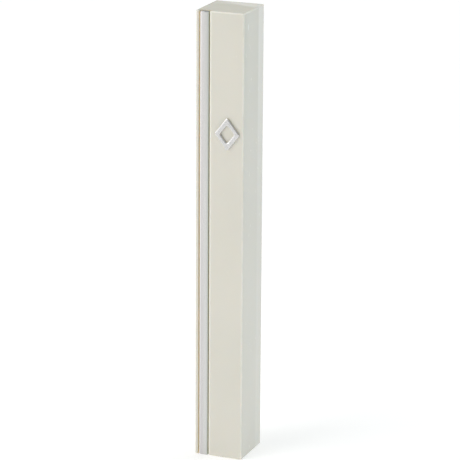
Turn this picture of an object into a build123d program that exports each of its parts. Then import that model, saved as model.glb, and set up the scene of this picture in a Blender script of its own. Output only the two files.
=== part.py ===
from build123d import *
import os

# Mezuzah case for a 120 mm scroll: a long, nearly square moulding that drops over a back plate.
# Frame: +Z up, the front faces -Y. The origin lies on the back plate's rear face,
# half way between the two screw holes.

# ---- driving dimensions, mm ----
height = 150.0  # bottom edge to top face
width = 16.6  # across the front
depth = 17.6  # front face to the rear edges of the side walls
wall = 1.6  # front and side walls
top_wall = 2.0
slide_gap = 0.15  # between the back plate and the channel it runs in

rib_width = 1.1  # thin rib left of the trim groove
groove_width = 3.75
groove_depth = 1.3
groove_backing = 1.2  # extra wall inside, behind the groove
backing_overlap = 1.2  # how far that reaches past the groove

corner_radius = 0.5
rib_corner_radius = 0.65
rib_edge_radius = 0.12
panel_edge_radius = 0.45  # wide panel's rounded edge, beside the groove
top_edge_radius = 0.35
mouth_chamfer = 0.15  # round the outside of the case's lower end, and round the foot's

lip_width = 1.2  # rear lips that hold the back plate in
lip_thickness = 0.9
slot_depth = 1.6  # channel for the back plate's tongues
keeper_width = 1.0  # ribs in front of the channel
keeper_thickness = 1.0

foot_thickness = 2.0
stop_gap = 0.05  # case roof above the plate's end when the case is home

screw_spacing = 120.0
screw_hole_radius = 1.7
screw_head_radius = 3.2

foam_length = 100.0
foam_width = 9.0
foam_thickness = 0.9
foam_corner_radius = 1.0
liner_thickness = 0.1
liner_tab = 4.0  # end of the liner that stands past the foam, to pull it off by

strip_width = 3.0
strip_side_height = 0.85
strip_crown = 0.3  # rise of the strip's domed face above its sides
strip_edge_radius = 0.2
strip_end_gap = 0.25  # below the top face
tape_width = 2.4
tape_thickness = 0.15

emblem_x = 2.9
emblem_z = 35.5
emblem_width = 8.6
emblem_height = 11.0
emblem_opening = 0.58  # size of the lozenge's opening, as a part of its outline
emblem_corner_radius = 0.6
emblem_thickness = 0.7
bevel_width = 0.34  # the bevel round the emblem's face, across the face
bevel_depth = 0.16
pin_radius = 0.5
pin_length = 1.3
pin_gap = 0.03

scroll_length = 120.0
scroll_radius = 5.3
scroll_pitch = 0.5  # one turn to the next
half_turns = 9
parchment = 0.3
wrap_thickness = 0.1
wrap_gap = 0.08
wrap_overhang = 1.0  # film past each end of the scroll

# ---- places that follow from them ----
bottom = -height / 2
top = height / 2
left = -width / 2
right = width / 2
front = -depth
groove_left = left + rib_width
groove_right = groove_left + groove_width
groove_x = (groove_left + groove_right) / 2
groove_floor = front + groove_depth
strip_rear = groove_floor - tape_thickness
strip_edge = strip_rear - strip_side_height
inner_half = width / 2 - wall
inner_front = front + wall
backing_right = groove_right + backing_overlap
backing_rear = inner_front + groove_backing
slot_rear = -lip_thickness
slot_front = slot_rear - slot_depth
keeper_front = slot_front - keeper_thickness
lip_half = inner_half - lip_width
keeper_half = inner_half - keeper_width
tongue_half = inner_half - slide_gap
land_half = lip_half - slide_gap
neck_half = keeper_half - slide_gap
notch_right = backing_right + slide_gap
notch_rear = backing_rear + slide_gap
plate_front = slot_front + slide_gap
plate_top = top - top_wall - stop_gap
foot_top = bottom + foot_thickness
wrap_radius = scroll_radius + wrap_gap + wrap_thickness
scroll_y = plate_front - slide_gap - wrap_radius
scroll_bottom = foot_top + wrap_overhang

emblem_plane = Plane((emblem_x, front, emblem_z), x_dir=(1, 0, 0), z_dir=(0, -1, 0))
pin_places = ((0, 4.0), (0, -4.0))

os.makedirs("parts", exist_ok=True)


def slab(x_low, x_high, y_low, y_high, mode=Mode.ADD):
    """A rectangle between two corners, in the sketch being drawn."""
    with Locations(((x_low + x_high) / 2, (y_low + y_high) / 2)):
        Rectangle(x_high - x_low, y_high - y_low, mode=mode)


def lozenge(across, tall, mode=Mode.ADD):
    """An upright lozenge about the middle of the sketch being drawn."""
    Polygon((-across / 2, 0), (0, -tall / 2), (across / 2, 0), (0, tall / 2), mode=mode)


def spiral(radius):
    """Half turns from the outer end inwards, about two centres half a pitch apart."""
    arcs = []
    for turn in range(half_turns):
        odd = turn % 2
        centre = (-odd * scroll_pitch / 2, scroll_y)
        arcs.append(CenterArc(centre, radius - turn * scroll_pitch / 2, 180 * odd, 180))
    return arcs[0] @ 0, arcs[-1] @ 1


def save(piece, name):
    """Label a finished piece and write its STEP file."""
    piece.part.label = name
    export_step(piece.part, f"parts/{name}.step")


# ---- case body: front, sides and roof in one moulding, open behind and below ----
with BuildPart() as case_body:
    with BuildSketch(Plane.XY.offset(bottom)) as shell:
        slab(left, right, front, 0)
        rib_corner = shell.vertices().group_by(Axis.Y)[0].sort_by(Axis.X)[0]
        fillet(rib_corner, rib_corner_radius)
        square_corners = shell.vertices().group_by(Axis.X)[-1] + shell.vertices().group_by(Axis.Y)[-1]
        fillet(set(square_corners), corner_radius)
    extrude(amount=height)
    fillet(case_body.edges().group_by(Axis.Z)[-1], top_edge_radius)
    chamfer(case_body.edges().group_by(Axis.Z)[0], mouth_chamfer)
    with BuildSketch(Plane.XY.offset(bottom)):
        slab(groove_left, groove_right, front, groove_floor)
    extrude(amount=height, mode=Mode.SUBTRACT)
    groove_rims = case_body.edges().filter_by(Axis.Z).group_by(Axis.Y)[0].sort_by(Axis.X)
    fillet(groove_rims[2], panel_edge_radius)
    fillet(groove_rims[1], rib_edge_radius)
    with BuildSketch(Plane.XY.offset(bottom)):
        slab(-inner_half, inner_half, inner_front, keeper_front)
        slab(-inner_half, backing_right, inner_front, backing_rear, mode=Mode.SUBTRACT)
        slab(-keeper_half, keeper_half, keeper_front, slot_front)
        slab(-inner_half, inner_half, slot_front, slot_rear)
        slab(-lip_half, lip_half, slot_rear, 0)
    extrude(amount=height - top_wall, mode=Mode.SUBTRACT)
    with Locations(emblem_plane):
        with Locations(*pin_places):
            Hole(radius=pin_radius + pin_gap, depth=wall)
save(case_body, "case_body")


# ---- silver trim strip with a domed face, and the tape that holds it in the groove ----
with BuildPart() as trim_tape:
    with BuildSketch(Plane.XY.offset(bottom)):
        slab(groove_x - tape_width / 2, groove_x + tape_width / 2, strip_rear, groove_floor)
    extrude(amount=height - strip_end_gap)
save(trim_tape, "trim_tape")

with BuildPart() as trim_strip:
    with BuildSketch(Plane.XY.offset(bottom)):
        strip_left = (groove_x - strip_width / 2, strip_edge)
        strip_right = (groove_x + strip_width / 2, strip_edge)
        with BuildLine():
            ThreePointArc(strip_left, (groove_x, strip_edge - strip_crown), strip_right)
            Polyline(strip_right, (strip_right[0], strip_rear), (strip_left[0], strip_rear), strip_left)
        make_face()
    extrude(amount=height - strip_end_gap)
    long_edges = trim_strip.edges().filter_by(Axis.Z).group_by(Axis.Y)[0]
    fillet(long_edges, strip_edge_radius)
    fillet(trim_strip.faces().sort_by(Axis.Z)[-1].edges().group_by(Axis.Y)[0], strip_edge_radius)
save(trim_strip, "trim_strip")

# ---- front emblem: a plain open lozenge, and two pins that plug into the front wall ----
with BuildPart() as front_emblem:
    with BuildSketch(emblem_plane) as outline:
        lozenge(emblem_width, emblem_height)
        lozenge(emblem_opening * emblem_width, emblem_opening * emblem_height, mode=Mode.SUBTRACT)
        fillet(outline.vertices(), emblem_corner_radius)
    extrude(amount=emblem_thickness)
    face = front_emblem.faces().sort_by(Axis.Y)[0]
    chamfer(face.edges(), bevel_width, bevel_depth, reference=face)
    with BuildSketch(emblem_plane):
        with Locations(*pin_places):
            Circle(pin_radius)
    extrude(amount=-pin_length)
save(front_emblem, "front_emblem")

# ---- back plate: screwed to the doorpost, with a foot that closes the case's lower end ----
with BuildPart() as back_plate:
    with BuildSketch(Plane.XY.offset(bottom)):
        slab(-tongue_half, tongue_half, plate_front, slot_rear - slide_gap)
        slab(-land_half, land_half, slot_rear - slide_gap, 0)
    extrude(amount=plate_top - bottom)
    with BuildSketch(Plane.XY.offset(bottom)):
        slab(-tongue_half, tongue_half, inner_front + slide_gap, keeper_front - slide_gap)
        slab(-tongue_half, notch_right, inner_front, notch_rear, mode=Mode.SUBTRACT)
        slab(-neck_half, neck_half, keeper_front - slide_gap, plate_front)
    extrude(amount=foot_thickness)
    chamfer(back_plate.faces().sort_by(Axis.Z)[0].edges(), mouth_chamfer)
    with Locations(Plane((0, plate_front, 0), x_dir=(1, 0, 0), z_dir=(0, -1, 0))):
        with GridLocations(0, screw_spacing, 1, 2):
            CounterSinkHole(radius=screw_hole_radius, counter_sink_radius=screw_head_radius)
save(back_plate, "back_plate")

# ---- foam tape on the back plate, between the screws, and its peel-off liner ----
with BuildPart() as foam_tape:
    with BuildSketch(Plane.XY.offset(-foam_length / 2)):
        slab(-foam_width / 2, foam_width / 2, 0, foam_thickness)
    extrude(amount=foam_length)
    fillet(foam_tape.edges().filter_by(Axis.Y), foam_corner_radius)
save(foam_tape, "foam_tape")

with BuildPart() as tape_liner:
    with BuildSketch(Plane.XY.offset(-foam_length / 2 - liner_tab)):
        slab(-foam_width / 2, foam_width / 2, foam_thickness, foam_thickness + liner_thickness)
    extrude(amount=foam_length + liner_tab)
    fillet(tape_liner.edges().filter_by(Axis.Y), foam_corner_radius)
save(tape_liner, "tape_liner")

# ---- rolled parchment: a spiral of half turns, each with a larger radius than the last ----
with BuildPart() as scroll:
    with BuildSketch(Plane.XY.offset(scroll_bottom)):
        with BuildLine():
            outer_start, outer_end = spiral(scroll_radius)
            inner_start, inner_end = spiral(scroll_radius - parchment)
            Line(outer_start, inner_start)
            Line(outer_end, inner_end)
        make_face()
    extrude(amount=scroll_length)
save(scroll, "scroll")

# ---- clear film wrapped round the scroll ----
with BuildPart() as scroll_wrap:
    with BuildSketch(Plane.XY.offset(scroll_bottom - wrap_overhang)):
        with Locations((0, scroll_y)):
            Circle(wrap_radius)
            Circle(wrap_radius - wrap_thickness, mode=Mode.SUBTRACT)
    extrude(amount=scroll_length + 2 * wrap_overhang)
save(scroll_wrap, "scroll_wrap")
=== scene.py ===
import math

import bpy
from mathutils import Matrix, Vector


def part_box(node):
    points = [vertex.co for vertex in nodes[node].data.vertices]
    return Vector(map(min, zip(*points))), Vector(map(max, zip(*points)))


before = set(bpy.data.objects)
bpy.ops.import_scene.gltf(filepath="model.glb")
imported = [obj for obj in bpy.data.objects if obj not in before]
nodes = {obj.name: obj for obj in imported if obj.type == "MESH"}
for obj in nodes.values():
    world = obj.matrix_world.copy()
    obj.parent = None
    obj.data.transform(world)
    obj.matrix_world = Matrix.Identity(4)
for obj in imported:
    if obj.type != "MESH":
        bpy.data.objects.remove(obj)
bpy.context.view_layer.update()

# ---- places, in metres, read from the frame ----
MM = 0.001
case_low, case_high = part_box("case_body")
strip_low, strip_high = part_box("trim_strip")
tape_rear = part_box("trim_tape")[1].y
emblem_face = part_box("front_emblem")[0].y
plate_low, plate_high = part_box("back_plate")
scroll_low, scroll_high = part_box("scroll")
wrap_low, wrap_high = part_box("scroll_wrap")
case_centre = (case_low + case_high) / 2
floor_z = case_low.z

# ---- driving values of the looks ----
GROOVE_GAP = 0.375 * MM  # between the strip and each wall of its groove
EDGE_REACH = 0.6 * MM  # how far an edge's painted highlight reaches across each face
ROOF_SLANT = 0.39  # slope of the line across the roof behind which it is painted paler, as a highlight
PALE_OVAL = (-13.85 * MM, 70 * MM)  # y and z of its middle, on the right side
PALE_OVAL_HALF = (0.6 * MM, 1.35 * MM)  # half its width and half its height

FLOOR_SIZE = 6.0
FLOOR_GLOW = 0.333
FAR_GLOW = 1.25  # the far floor's glow, over the near floor's
GLOW_GROWS = (0.1, 0.7)  # between these squares of the distance from the middle, in square metres

# name, azimuth and elevation in degrees, side in metres, power in watts, colour
SOFT_BOXES = (
    ("key", -40, 30, 0.7, 3.15, (1.0, 0.966, 0.932)),
    ("right_fill", 115, 20, 0.8, 0.84, (0.12, 0.6, 1.0)),
    ("top_left", -52, 62, 0.7, 1.6, (1.0, 0.995, 0.993)),
    ("left_low", -62, 8, 0.45, 0.65, (1.0, 1.0, 1.0)),
    ("overhead", 150, 72, 0.8, 2.83, (1.0, 0.988, 0.99)),
)
LIGHT_DISTANCE = 1.2
WORLD_STRENGTH = 0.491
WORLD_COLOUR = (0.97, 1.0, 0.985, 1.0)

CAMERA_PLACE = (0.3156, -0.7981, 0.2459)
AZIMUTH = math.radians(21.77)
ELEVATION = math.radians(16.08)
ROLL = math.radians(0.33)
LENS = 211.9
SENSOR = 36.0  # millimetres, as the lens


# ---- small helpers that build shader nodes ----
def new_material(name):
    """A material, its node tree and its Principled shader."""
    material = bpy.data.materials.new(name)
    material.use_nodes = True
    return material, material.node_tree, material.node_tree.nodes["Principled BSDF"]


def node(tree, kind, inputs, **settings):
    """One shader node. inputs maps a socket's name or number to a value or to another socket."""
    made = tree.nodes.new(kind)
    for name, value in settings.items():
        setattr(made, name, value)
    for key, value in inputs.items():
        if isinstance(value, bpy.types.NodeSocket):
            tree.links.new(value, made.inputs[key])
        else:
            made.inputs[key].default_value = value
    return made


def point(tree):
    """The point on the surface in the part's own frame, in metres."""
    return node(tree, "ShaderNodeTexCoord", {}).outputs["Object"]


def axes(tree):
    """The point's x, y and z."""
    return node(tree, "ShaderNodeSeparateXYZ", {"Vector": point(tree)}).outputs


def stretched(tree, stretch):
    """The point, with each axis scaled; under 1 draws a pattern out along that axis."""
    return node(tree, "ShaderNodeMapping", {"Vector": point(tree), "Scale": stretch}).outputs[0]


def noise(tree, size, detail=3.0, stretch=(1, 1, 1), roughness=0.5):
    """Noise from 0 to 1 whose blotches are about size metres across."""
    inputs = {"Vector": stretched(tree, stretch), "Scale": 1 / size, "Detail": detail, "Roughness": roughness}
    return node(tree, "ShaderNodeTexNoise", inputs).outputs["Fac"]


def cells(tree, size, feature="F1", stretch=(1, 1, 1)):
    """Distance from the middle of each cell, or from its wall, with cells about size metres across."""
    inputs = {"Vector": stretched(tree, stretch), "Scale": 1 / size}
    return node(tree, "ShaderNodeTexVoronoi", inputs, feature=feature).outputs["Distance"]


def remap(tree, value, low, high, to_low=0.0, to_high=1.0):
    """value, taken from low..high to to_low..to_high, smoothly and held inside it."""
    inputs = {"Value": value, "From Min": low, "From Max": high, "To Min": to_low, "To Max": to_high}
    return node(tree, "ShaderNodeMapRange", inputs, interpolation_type="SMOOTHSTEP").outputs[0]


def near(tree, value, face, reach):
    """1 at the face and 0 from reach away from it; reach is negative where the body lies below."""
    return remap(tree, value, face + reach, face + 0.25 * reach)


def combine(tree, operation, first, *others):
    """ADD, SUBTRACT, DIVIDE and so on, over two or more values."""
    for other in others:
        first = node(tree, "ShaderNodeMath", {0: first, 1: other}, operation=operation).outputs[0]
    return first


def product(tree, *values):
    """All the values multiplied: where they are masks, the place that lies in every one."""
    return combine(tree, "MULTIPLY", *values)


def largest(tree, *values):
    """The largest of the values: where they are masks, the places that lie in any of them."""
    return combine(tree, "MAXIMUM", *values)


def sum_of_squares(tree, first, second):
    """first squared plus second squared."""
    return combine(tree, "ADD", product(tree, first, first), product(tree, second, second))


def mix(tree, factor, first, second):
    """A colour between first and second."""
    return node(tree, "ShaderNodeMix", {"Factor": factor, 6: first, 7: second}, data_type="RGBA").outputs[2]


def bump(tree, height, distance, under=None):
    """A relief of distance metres where height goes from 0 to 1, over the relief under it."""
    inputs = {"Height": height, "Distance": distance}
    if under is not None:
        inputs["Normal"] = under
    return node(tree, "ShaderNodeBump", inputs).outputs[0]


def connect(tree, shader, **sockets):
    """Links values to the shader's sockets, written as Base_Color=..., Roughness=..."""
    for name, value in sockets.items():
        tree.links.new(value, shader.inputs[name.replace("_", " ")])


def fixed(shader, **values):
    """Sets the shader's sockets that are the same all over the surface."""
    for name, value in values.items():
        shader.inputs[name.replace("_", " ")].default_value = value


# ---- places on the case body, as masks that are 1 there and 0 elsewhere ----
def on_roof(tree):
    return near(tree, axes(tree)[2], case_high.z, -EDGE_REACH)


def on_right(tree):
    return near(tree, axes(tree)[0], case_high.x, -EDGE_REACH)


def by_open_back(tree):
    """The walls' rear bands, where paler colour is painted for the light that enters at the open back."""
    return remap(tree, axes(tree)[1], case_high.y - 5.6 * MM, case_high.y - 4.4 * MM)


def upper_half(tree):
    return remap(tree, axes(tree)[2], 0, case_high.z, 0.3, 1.0)


def edge_highlights(tree):
    """Painted highlights, in patches: on the outer edges, on the panel's edge beside the groove and on the
    roof's rear.
    """
    x, y, z = axes(tree)
    front = near(tree, y, case_low.y, EDGE_REACH)
    back = near(tree, y, case_high.y, -EDGE_REACH)
    left = near(tree, x, case_low.x, EDGE_REACH)
    roof = on_roof(tree)
    sides = largest(tree, left, on_right(tree))
    rim = near(tree, x, strip_high.x + GROOVE_GAP, 0.9 * MM)
    past_groove = remap(tree, x, strip_high.x, strip_high.x + 0.9 * GROOVE_GAP)
    slanting = combine(tree, "ADD", y, product(tree, x, ROOF_SLANT))
    highlit = largest(
        tree,
        product(tree, front, sides),
        product(tree, roof, largest(tree, front, back)),
        product(tree, roof, sides),
        product(tree, front, rim, past_groove),
        product(tree, roof, remap(tree, slanting, -5.2 * MM, -2.6 * MM)),
    )
    return product(tree, highlit, remap(tree, noise(tree, 5 * MM, 3), 0.3, 0.6, 0.55, 1))


def pale_oval(tree):
    """One small oval mark on the right side, near the top."""
    x, y, z = axes(tree)
    across = combine(tree, "DIVIDE", combine(tree, "SUBTRACT", y, PALE_OVAL[0]), PALE_OVAL_HALF[0])
    up = combine(tree, "DIVIDE", combine(tree, "SUBTRACT", z, PALE_OVAL[1]), PALE_OVAL_HALF[1])
    return product(tree, on_right(tree), remap(tree, sum_of_squares(tree, across, up), 1.0, 0.2))


def in_groove(tree):
    """The floor and the walls of the trim groove."""
    x, y, z = axes(tree)
    left_wall = strip_low.x - GROOVE_GAP
    right_wall = strip_high.x + GROOVE_GAP
    return product(
        tree,
        remap(tree, x, left_wall - 0.1 * MM, left_wall + 0.05 * MM),
        remap(tree, x, right_wall + 0.1 * MM, right_wall - 0.05 * MM),
        remap(tree, y, case_low.y + 0.2 * MM, case_low.y + 0.6 * MM),
        remap(tree, y, tape_rear + 0.3 * MM, tape_rear + 0.1 * MM),
        remap(tree, z, strip_high.z, strip_high.z - 0.3 * MM),
    )


# ---- materials ----
def ivory_plastic():
    """Glossy ivory moulding: flow clouds, painted edge highlights, a small pale oval, painted warm light and
    glow in the groove, a painted paler rear band, painted shade on the right side and a painted warmer roof.
    """
    material, tree, shader = new_material("ivory_plastic")
    x, y = axes(tree)[:2]

    clouds = remap(tree, noise(tree, 22 * MM, 2), 0.35, 0.65)
    colour = mix(tree, clouds, (0.742, 0.716, 0.640, 1), (0.726, 0.703, 0.626, 1))
    back_glow = by_open_back(tree)
    # painted light: the walls' upper rear bands are paler, for the light that enters at the open back
    colour = mix(tree, product(tree, back_glow, upper_half(tree)), colour, (0.80, 0.785, 0.725, 1))

    # painted shade: the right side is darkened at the top, towards the front
    forward = remap(tree, y, case_low.y + 1 * MM, case_low.y + 5 * MM, 1.0, 0.5)
    before_back_glow = combine(tree, "SUBTRACT", 1.0, back_glow)
    shade = product(tree, on_right(tree), upper_half(tree), forward, before_back_glow)
    colour = mix(tree, shade, colour, (0.675, 0.668, 0.59, 1))
    # painted light: the roof is tinted warmer, standing in for the warm light that falls on it
    colour = mix(tree, product(tree, on_roof(tree), 0.5), colour, (0.75, 0.715, 0.60, 1))

    # painted highlights: the edges, the panel's edge beside the groove and the roof's rear are paler, in
    # patches
    colour = mix(tree, edge_highlights(tree), colour, (0.90, 0.87, 0.80, 1))
    # a small pale oval on the right side, near the top
    colour = mix(tree, pale_oval(tree), colour, (0.79, 0.79, 0.735, 1))

    # painted light: inside the trim groove the colour is painted warm, standing in for light that has come
    # through the plastic
    groove = in_groove(tree)
    warm = mix(tree, remap(tree, x, strip_low.x, strip_high.x), (0.98, 0.86, 0.60, 1), (0.97, 0.92, 0.72, 1))
    colour = mix(tree, groove, colour, warm)

    scuffs = remap(tree, noise(tree, 1.1 * MM, 4, (1, 1, 0.35), 0.7), 0.62, 0.8)
    sheen = remap(tree, noise(tree, 9 * MM, 3), 0.3, 0.7, 0.20, 0.27)
    rough = combine(tree, "ADD", sheen, product(tree, scuffs, 0.12))
    peel = noise(tree, 1.4 * MM, 1)
    scratches = remap(tree, noise(tree, 0.35 * MM, 2, (1, 1, 0.04)), 0.66, 0.8)
    relief = bump(tree, scratches, -0.002 * MM, bump(tree, peel, 0.003 * MM))
    # the groove's painted glow, for the same light
    glow = product(tree, groove, 0.12)
    connect(tree, shader, Base_Color=colour, Roughness=rough, Normal=relief, Emission_Strength=glow)
    fixed(shader, Subsurface_Weight=0.2, Subsurface_Radius=(1.4, 1.0, 0.6), Subsurface_Scale=MM)
    fixed(shader, IOR=1.5, Emission_Color=(1.0, 0.87, 0.58, 1))
    return material


def silver_trim():
    """Satin metallised strip, drawn lengthways, with painted shading across and along it, a painted highlight
    on its left edge and painted shade on its right edge.
    """
    material, tree, shader = new_material("silver_trim")
    x, y, z = axes(tree)
    # painted shading: the strip's colour changes across it and from bottom to top, for how it reflects the
    # light
    across = remap(tree, x, strip_low.x + 0.8 * MM, strip_low.x + 2.0 * MM)
    lower = mix(tree, across, (0.600, 0.582, 0.580, 1), (0.650, 0.645, 0.630, 1))
    upper = mix(tree, across, (0.605, 0.588, 0.588, 1), (0.625, 0.620, 0.605, 1))
    colour = mix(tree, remap(tree, z, 0, strip_high.z), lower, upper)
    # painted shade along the right edge
    shaded_right_edge = near(tree, x, strip_high.x, -0.6 * MM)
    colour = mix(tree, shaded_right_edge, colour, (0.50, 0.53, 0.50, 1))
    clouds = remap(tree, noise(tree, 9 * MM, 2, (1, 1, 0.3)), 0.35, 0.65)
    colour = mix(tree, product(tree, clouds, 0.35), colour, (0.60, 0.595, 0.59, 1))
    # painted highlight along the left edge
    highlit_left_edge = near(tree, x, strip_low.x, 0.6 * MM)
    colour = mix(tree, highlit_left_edge, colour, (0.86, 0.84, 0.86, 1))
    top_end = near(tree, z, strip_high.z, -0.35 * MM)
    colour = mix(tree, top_end, colour, (0.42, 0.42, 0.44, 1))
    lines = noise(tree, 0.22 * MM, 4, (1, 1, 0.012))
    rough = remap(tree, lines, 0.25, 0.75, 0.24, 0.36)
    connect(tree, shader, Base_Color=colour, Roughness=rough, Normal=bump(tree, lines, 0.0025 * MM))
    fixed(shader, Metallic=1.0)
    return material


def emblem_silver():
    """Silver plating: satin face, bevels painted paler as a highlight, warmer side walls."""
    material, tree, shader = new_material("emblem_silver")
    y = axes(tree)[1]
    speckle = remap(tree, noise(tree, 0.5 * MM, 4), 0.3, 0.7)
    colour = mix(tree, speckle, (0.645, 0.64, 0.64, 1), (0.595, 0.59, 0.59, 1))
    # painted highlight: the bevels are paler
    bevel = remap(tree, y, emblem_face + 0.01 * MM, emblem_face + 0.04 * MM)
    colour = mix(tree, bevel, colour, (0.68, 0.67, 0.665, 1))
    wall = remap(tree, y, emblem_face + 0.16 * MM, emblem_face + 0.19 * MM)
    colour = mix(tree, wall, colour, (0.70, 0.685, 0.63, 1))
    satin = remap(tree, speckle, 0, 1, 0.24, 0.34)
    rough = combine(tree, "ADD", satin, product(tree, bevel, -0.08))
    grain = noise(tree, 0.18 * MM, 3)
    connect(tree, shader, Base_Color=colour, Roughness=rough, Normal=bump(tree, grain, 0.004 * MM))
    fixed(shader, Metallic=1.0)
    return material


def plate_plastic():
    """Spark-textured ivory, with slide marks down the tongues above the foot."""
    material, tree, shader = new_material("plate_plastic")
    x, y, z = axes(tree)
    clouds = remap(tree, noise(tree, 14 * MM, 3), 0.35, 0.65)
    colour = mix(tree, clouds, (0.70, 0.675, 0.595, 1), (0.672, 0.648, 0.566, 1))
    from_middle = combine(tree, "ABSOLUTE", x, 0)
    tongues = remap(tree, from_middle, plate_high.x - 1.3 * MM, plate_high.x - 0.7 * MM)
    streaks = remap(tree, noise(tree, 0.5 * MM, 3, (1, 1, 0.02)), 0.45, 0.6)
    above_foot = remap(tree, z, plate_low.z + 2.5 * MM, plate_low.z + 6 * MM)
    rubbed = product(tree, tongues, streaks, above_foot)
    colour = mix(tree, rubbed, colour, (0.78, 0.76, 0.69, 1))
    grain = noise(tree, 0.16 * MM, 2)
    spark = remap(tree, grain, 0.3, 0.7, 0.48, 0.62)
    rough = combine(tree, "SUBTRACT", spark, product(tree, rubbed, 0.2))
    connect(tree, shader, Base_Color=colour, Roughness=rough, Normal=bump(tree, grain, 0.012 * MM))
    return material


def clear_tape():
    """Thin adhesive tape, yellowish and slightly milky."""
    material, tree, shader = new_material("clear_tape")
    bubbles = remap(tree, cells(tree, 0.9 * MM), 0.1, 0.3)
    colour = mix(tree, bubbles, (0.80, 0.74, 0.58, 1), (0.68, 0.62, 0.46, 1))
    rough = remap(tree, noise(tree, 0.6 * MM, 3), 0.3, 0.7, 0.25, 0.45)
    connect(tree, shader, Base_Color=colour, Roughness=rough, Normal=bump(tree, bubbles, 0.01 * MM))
    return material


def white_foam():
    """Closed-cell foam: fine bubbles, cut open on the sides."""
    material, tree, shader = new_material("foam")
    small = cells(tree, 0.32 * MM)
    large = cells(tree, 0.75 * MM)
    pores = combine(tree, "ADD", product(tree, small, 0.6), product(tree, large, 0.4))
    colour = mix(tree, remap(tree, pores, 0.1, 0.45), (0.74, 0.74, 0.72, 1), (0.88, 0.88, 0.865, 1))
    rough = remap(tree, pores, 0.1, 0.5, 0.95, 0.8)
    connect(tree, shader, Base_Color=colour, Roughness=rough, Normal=bump(tree, pores, 0.05 * MM))
    return material


def waxed_paper():
    """Release paper: short fibres, faint creases across it and a waxed sheen."""
    material, tree, shader = new_material("liner_paper")
    fibres = noise(tree, 0.35 * MM, 5, (1, 1, 0.3), 0.7)
    clouds = remap(tree, noise(tree, 6 * MM, 4), 0.3, 0.7)
    colour = mix(tree, clouds, (0.80, 0.755, 0.62, 1), (0.74, 0.69, 0.55, 1))
    colour = mix(tree, remap(tree, fibres, 0.52, 0.72, 0, 0.5), colour, (0.60, 0.53, 0.38, 1))
    creases = remap(tree, noise(tree, 9 * MM, 1, (0.35, 1, 1.6)), 0.485, 0.515)
    rough = remap(tree, fibres, 0.3, 0.7, 0.34, 0.52)
    relief = bump(tree, creases, 0.02 * MM, bump(tree, fibres, 0.006 * MM))
    connect(tree, shader, Base_Color=colour, Roughness=rough, Normal=relief)
    fixed(shader, Coat_Weight=0.25, Coat_Roughness=0.3)
    return material


def parchment():
    """Scraped skin: cream mottling, hair-follicle specks, faint veins and darker cut ends."""
    material, tree, shader = new_material("parchment")
    z = axes(tree)[2]
    clouds = remap(tree, noise(tree, 8 * MM, 5, (1, 1, 0.6), 0.6), 0.3, 0.7)
    colour = mix(tree, clouds, (0.79, 0.68, 0.475, 1), (0.70, 0.575, 0.37, 1))
    veins = remap(tree, cells(tree, 7 * MM, "DISTANCE_TO_EDGE", (1, 1, 0.5)), 0.0, 0.035, 0.35, 0)
    colour = mix(tree, veins, colour, (0.60, 0.46, 0.28, 1))
    follicles = remap(tree, cells(tree, 0.55 * MM), 0.1, 0.24, 0.6, 0)
    sparse = remap(tree, noise(tree, 4 * MM, 2), 0.45, 0.6)
    colour = mix(tree, product(tree, follicles, sparse), colour, (0.47, 0.35, 0.20, 1))
    tips = largest(tree, near(tree, z, scroll_high.z, -1.6 * MM), near(tree, z, scroll_low.z, 1.6 * MM))
    colour = mix(tree, product(tree, tips, 0.55), colour, (0.52, 0.39, 0.23, 1))
    grain = noise(tree, 0.25 * MM, 4, (1, 1, 0.7))
    rough = remap(tree, grain, 0.3, 0.7, 0.5, 0.68)
    relief = bump(tree, grain, 0.02 * MM, bump(tree, clouds, 0.05 * MM))
    connect(tree, shader, Base_Color=colour, Roughness=rough, Normal=relief)
    fixed(shader, Sheen_Weight=0.15, Sheen_Roughness=0.4)
    return material


def clear_film():
    """Thin clear wrapping film, milky along its stretch wrinkles and at its cut ends."""
    material, tree, shader = new_material("clear_film")
    z = axes(tree)[2]
    long_wrinkles = noise(tree, 1.6 * MM, 2, (1, 1, 0.12))
    cross_wrinkles = noise(tree, 2.5 * MM, 3, (0.5, 0.5, 1))
    folds = remap(tree, long_wrinkles, 0.5, 0.75, 0.12, 0.24)
    ends = largest(tree, near(tree, z, wrap_high.z, -0.5 * MM), near(tree, z, wrap_low.z, 0.5 * MM))
    cover = largest(tree, folds, product(tree, ends, 0.5))
    rough = remap(tree, cross_wrinkles, 0.3, 0.7, 0.05, 0.14)
    relief = bump(tree, cross_wrinkles, 0.06 * MM, bump(tree, long_wrinkles, 0.15 * MM))
    connect(tree, shader, Alpha=cover, Roughness=rough, Normal=relief)
    fixed(shader, Base_Color=(0.97, 0.975, 0.98, 1), IOR=1.5)
    return material


def dress(name, material):
    """Gives a CAD node its material."""
    mesh = nodes[name].data
    mesh.materials.clear()
    mesh.materials.append(material)


dress("case_body", ivory_plastic())
dress("trim_strip", silver_trim())
dress("front_emblem", emblem_silver())
dress("back_plate", plate_plastic())
dress("trim_tape", clear_tape())
dress("foam_tape", white_foam())
dress("tape_liner", waxed_paper())
dress("scroll", parchment())
dress("scroll_wrap", clear_film())


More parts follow.
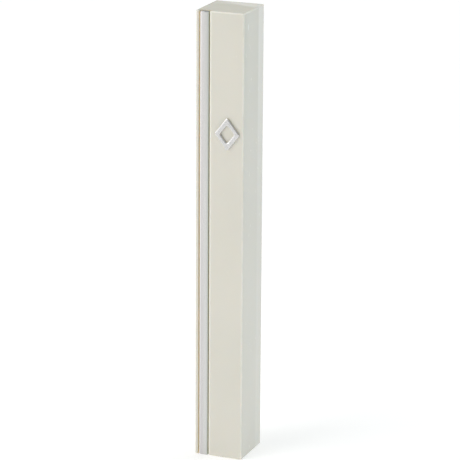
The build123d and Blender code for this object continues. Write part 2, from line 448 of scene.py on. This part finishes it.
# ---- floor, light and camera ----
def studio_floor():
    bpy.ops.mesh.primitive_plane_add(size=FLOOR_SIZE, location=(0, 0, floor_z))
    floor = bpy.context.object
    floor.name = "floor"
    material, tree, shader = new_material("floor")
    fixed(shader, Base_Color=(0.9, 0.9, 0.9, 1), Roughness=0.9, Specular_IOR_Level=0.1)
    fixed(shader, Emission_Color=(1.0, 0.99, 0.99, 1))
    # the soft boxes reach the far floor less, so it glows a little more
    x, y = axes(tree)[:2]
    glow = remap(tree, sum_of_squares(tree, x, y), *GLOW_GROWS, FLOOR_GLOW, FAR_GLOW * FLOOR_GLOW)
    connect(tree, shader, Emission_Strength=glow)
    floor.data.materials.append(material)


def direction(azimuth, elevation):
    """The unit vector from the case towards a light; azimuth 0 is in front of it."""
    turn, rise = math.radians(azimuth), math.radians(elevation)
    return Vector((math.sin(turn) * math.cos(rise), -math.cos(turn) * math.cos(rise), math.sin(rise)))


def soft_box(name, azimuth, elevation, side, power, colour):
    data = bpy.data.lights.new(name, "AREA")
    data.size = side
    data.energy = power
    data.color = colour
    light = bpy.data.objects.new(name, data)
    light.location = case_centre + LIGHT_DISTANCE * direction(azimuth, elevation)
    light.rotation_euler = (case_centre - light.location).to_track_quat("-Z", "Y").to_euler()
    bpy.context.scene.collection.objects.link(light)


def studio_world():
    world = bpy.data.worlds.new("studio")
    bpy.context.scene.world = world
    world.use_nodes = True
    background = world.node_tree.nodes["Background"]
    background.inputs["Color"].default_value = WORLD_COLOUR
    background.inputs["Strength"].default_value = WORLD_STRENGTH


def camera():
    data = bpy.data.cameras.new("camera")
    data.lens = LENS
    data.sensor_width = SENSOR
    made = bpy.data.objects.new("camera", data)
    made.matrix_world = (
        Matrix.Translation(CAMERA_PLACE)
        @ Matrix.Rotation(AZIMUTH, 4, "Z")
        @ Matrix.Rotation(math.pi / 2 - ELEVATION, 4, "X")
        @ Matrix.Rotation(ROLL, 4, "Z")
    )
    bpy.context.scene.collection.objects.link(made)
    bpy.context.scene.camera = made


studio_floor()
for box in SOFT_BOXES:
    soft_box(*box)
studio_world()
camera()
bpy.context.scene.view_settings.view_transform = "Standard"
